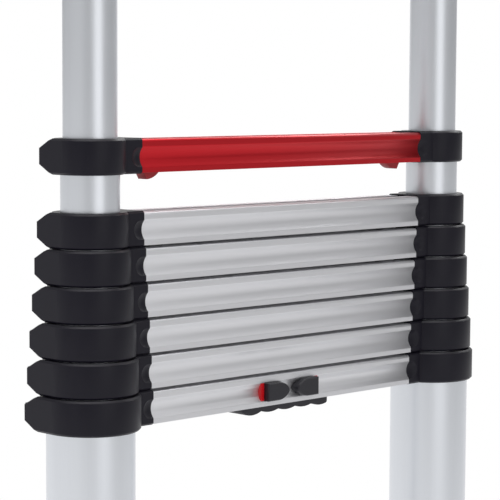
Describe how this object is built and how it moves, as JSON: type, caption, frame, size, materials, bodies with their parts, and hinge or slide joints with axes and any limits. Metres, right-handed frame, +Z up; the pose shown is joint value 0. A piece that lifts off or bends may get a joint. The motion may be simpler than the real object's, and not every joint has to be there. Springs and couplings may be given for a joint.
{
  "type": "telescoping ladder",
  "caption": "Telescoping ladder with round nested stile tubes, moulded collars and hollow rungs that lock with sprung pins and fold down section by section.",
  "frame": {"origin": "on the floor, midway between the two feet, at the bottom centre of the bounding box", "axes": "+Z up along the stiles, +X along the rungs from the left stile to the right one as the climber sees them, +Y away from the climber"},
  "size_m": [0.5844, 0.0944, 1.4848],
  "materials": {
    "stile_aluminium": "satin anodised",
    "rung_aluminium": "satin anodised extrusion",
    "red_rung": "red anodised, satin",
    "collar_plastic": "fine matt charcoal",
    "latch_plastic": "matt grey",
    "latch_plastic_red": "matt red",
    "button_plastic": "matt charcoal",
    "pin_steel": "zinc plated",
    "indicator_red": "gloss red film",
    "foot_rubber": "matt black rubber"
  },
  "bodies": {
    "section_01": {"stile_tubes_01": "stile_aluminium", "collars_01": "collar_plastic", "rung_01": "rung_aluminium", "finger_grip": "button_plastic", "indicator_strips": "indicator_red", "feet": "foot_rubber"},
    "section_02": {"stile_tubes_02": "stile_aluminium", "collars_02": "collar_plastic", "rung_02": "rung_aluminium"},
    "section_03": {"stile_tubes_03": "stile_aluminium", "collars_03": "collar_plastic", "rung_03": "rung_aluminium"},
    "section_04": {"stile_tubes_04": "stile_aluminium", "collars_04": "collar_plastic", "rung_04": "rung_aluminium"},
    "section_05": {"stile_tubes_05": "stile_aluminium", "collars_05": "collar_plastic", "rung_05": "rung_aluminium"},
    "section_06": {"stile_tubes_06": "stile_aluminium", "collars_06": "collar_plastic", "rung_06": "rung_aluminium"},
    "section_07": {"stile_tubes_07": "stile_aluminium", "collars_07": "collar_plastic", "rung_07": "red_rung"},
    "section_08": {"stile_tubes_08": "stile_aluminium", "collars_08": "collar_plastic", "rung_08": "rung_aluminium"},
    "section_09": {"stile_tubes_09": "stile_aluminium", "collars_09": "collar_plastic", "rung_09": "rung_aluminium"},
    "section_10": {"stile_tubes_10": "stile_aluminium", "collars_10": "collar_plastic", "rung_10": "rung_aluminium", "top_caps": "collar_plastic"},
    "latch_left_02": {"latch_left_02": "latch_plastic"},
    "latch_right_02": {"latch_right_02": "latch_plastic"},
    "latch_left_03": {"latch_left_03": "latch_plastic"},
    "latch_right_03": {"latch_right_03": "latch_plastic"},
    "latch_left_04": {"latch_left_04": "latch_plastic"},
    "latch_right_04": {"latch_right_04": "latch_plastic"},
    "latch_left_05": {"latch_left_05": "latch_plastic"},
    "latch_right_05": {"latch_right_05": "latch_plastic"},
    "latch_left_06": {"latch_left_06": "latch_plastic"},
    "latch_right_06": {"latch_right_06": "latch_plastic"},
    "latch_left_07": {"latch_left_07": "latch_plastic_red"},
    "latch_right_07": {"latch_right_07": "latch_plastic_red"},
    "latch_left_08": {"latch_left_08": "latch_plastic"},
    "latch_right_08": {"latch_right_08": "latch_plastic"},
    "latch_left_09": {"latch_left_09": "latch_plastic"},
    "latch_right_09": {"latch_right_09": "latch_plastic"},
    "release_left": {"release_button_left": "button_plastic", "pull_bar_left": "pin_steel"},
    "release_right": {"release_button_right": "button_plastic", "pull_bar_right": "pin_steel"}
  },
  "joints": [
    {"name": "section_02_slide", "type": "slide", "parent": "section_01", "child": "section_02", "axis": [0, 0, 1], "range_m": [0, 0.256]},
    {"name": "section_03_slide", "type": "slide", "parent": "section_02", "child": "section_03", "axis": [0, 0, 1], "range_m": [0, 0.256]},
    {"name": "section_04_slide", "type": "slide", "parent": "section_03", "child": "section_04", "axis": [0, 0, 1], "range_m": [0, 0.256]},
    {"name": "section_05_slide", "type": "slide", "parent": "section_04", "child": "section_05", "axis": [0, 0, 1], "range_m": [0, 0.256]},
    {"name": "section_06_slide", "type": "slide", "parent": "section_05", "child": "section_06", "axis": [0, 0, 1], "range_m": [0, 0.256]},
    {"name": "section_07_slide", "type": "slide", "parent": "section_06", "child": "section_07", "axis": [0, 0, 1], "range_m": [-0.0339, 0.2221]},
    {"name": "section_08_slide", "type": "slide", "parent": "section_07", "child": "section_08", "axis": [0, 0, 1], "range_m": [-0.256, 0]},
    {"name": "section_09_slide", "type": "slide", "parent": "section_08", "child": "section_09", "axis": [0, 0, 1], "range_m": [-0.256, 0]},
    {"name": "section_10_slide", "type": "slide", "parent": "section_09", "child": "section_10", "axis": [0, 0, 1], "range_m": [-0.256, 0]},
    {"name": "latch_left_02_slide", "type": "slide", "parent": "section_02", "child": "latch_left_02", "axis": [-1, 0, 0], "range_m": [0, 0.0046], "stiffness_N_per_m": 300},
    {"name": "latch_right_02_slide", "type": "slide", "parent": "section_02", "child": "latch_right_02", "axis": [1, 0, 0], "range_m": [0, 0.0046], "stiffness_N_per_m": 300},
    {"name": "latch_left_03_slide", "type": "slide", "parent": "section_03", "child": "latch_left_03", "axis": [-1, 0, 0], "range_m": [0, 0.0046], "stiffness_N_per_m": 300},
    {"name": "latch_right_03_slide", "type": "slide", "parent": "section_03", "child": "latch_right_03", "axis": [1, 0, 0], "range_m": [0, 0.0046], "stiffness_N_per_m": 300},
    {"name": "latch_left_04_slide", "type": "slide", "parent": "section_04", "child": "latch_left_04", "axis": [-1, 0, 0], "range_m": [0, 0.0046], "stiffness_N_per_m": 300},
    {"name": "latch_right_04_slide", "type": "slide", "parent": "section_04", "child": "latch_right_04", "axis": [1, 0, 0], "range_m": [0, 0.0046], "stiffness_N_per_m": 300},
    {"name": "latch_left_05_slide", "type": "slide", "parent": "section_05", "child": "latch_left_05", "axis": [-1, 0, 0], "range_m": [0, 0.0046], "stiffness_N_per_m": 300},
    {"name": "latch_right_05_slide", "type": "slide", "parent": "section_05", "child": "latch_right_05", "axis": [1, 0, 0], "range_m": [0, 0.0046], "stiffness_N_per_m": 300},
    {"name": "latch_left_06_slide", "type": "slide", "parent": "section_06", "child": "latch_left_06", "axis": [-1, 0, 0], "range_m": [0, 0.0046], "stiffness_N_per_m": 300},
    {"name": "latch_right_06_slide", "type": "slide", "parent": "section_06", "child": "latch_right_06", "axis": [1, 0, 0], "range_m": [0, 0.0046], "stiffness_N_per_m": 300},
    {"name": "latch_left_07_slide", "type": "slide", "parent": "section_07", "child": "latch_left_07", "axis": [1, 0, 0], "range_m": [0, 0.0046], "stiffness_N_per_m": 300},
    {"name": "latch_right_07_slide", "type": "slide", "parent": "section_07", "child": "latch_right_07", "axis": [-1, 0, 0], "range_m": [0, 0.0046], "stiffness_N_per_m": 300},
    {"name": "latch_left_08_slide", "type": "slide", "parent": "section_08", "child": "latch_left_08", "axis": [1, 0, 0], "range_m": [0, 0.0046], "stiffness_N_per_m": 300},
    {"name": "latch_right_08_slide", "type": "slide", "parent": "section_08", "child": "latch_right_08", "axis": [-1, 0, 0], "range_m": [0, 0.0046], "stiffness_N_per_m": 300},
    {"name": "latch_left_09_slide", "type": "slide", "parent": "section_09", "child": "latch_left_09", "axis": [1, 0, 0], "range_m": [0, 0.0046], "stiffness_N_per_m": 300},
    {"name": "latch_right_09_slide", "type": "slide", "parent": "section_09", "child": "latch_right_09", "axis": [-1, 0, 0], "range_m": [0, 0.0046], "stiffness_N_per_m": 300},
    {"name": "release_left_slide", "type": "slide", "parent": "section_01", "child": "release_left", "axis": [-1, 0, 0], "range_m": [0, 0.0046], "stiffness_N_per_m": 300},
    {"name": "release_right_slide", "type": "slide", "parent": "section_01", "child": "release_right", "axis": [1, 0, 0], "range_m": [0, 0.0046], "stiffness_N_per_m": 300}
  ]
}
